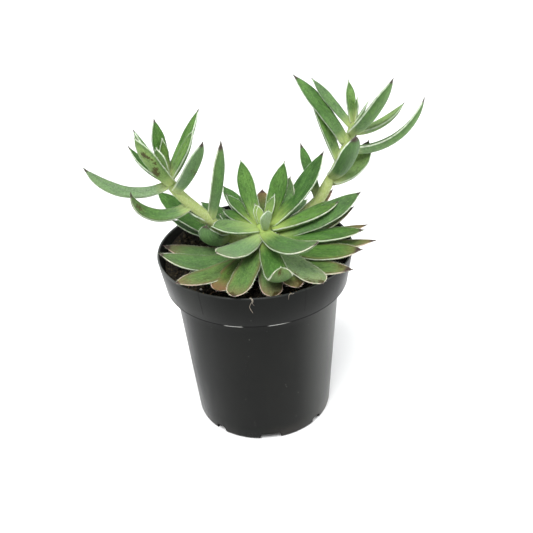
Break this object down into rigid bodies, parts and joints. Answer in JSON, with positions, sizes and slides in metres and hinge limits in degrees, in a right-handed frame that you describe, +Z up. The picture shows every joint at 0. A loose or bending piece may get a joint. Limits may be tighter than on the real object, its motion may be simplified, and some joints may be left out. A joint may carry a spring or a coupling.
{
  "type": "potted succulent",
  "caption": "Leafy succulent rosette with two curving leafy flower stalks, growing from soil in a round tapered nursery pot with a deep rim band.",
  "frame": {"origin": "centre of the pot's base, on the surface that it stands on", "axes": "+Z up, -Y towards the viewer of the picture, +X to the right"},
  "size_m": [0.1488, 0.0924, 0.1632],
  "materials": {
    "pot_plastic": "charcoal moulded plastic, satin",
    "soil": null,
    "leaf": null,
    "stalk": null
  },
  "bodies": {
    "root": {"pot": "pot_plastic", "soil": "soil", "rosette": "leaf", "left_stalk": "stalk", "right_stalk": "stalk"}
  },
  "joints": []
}
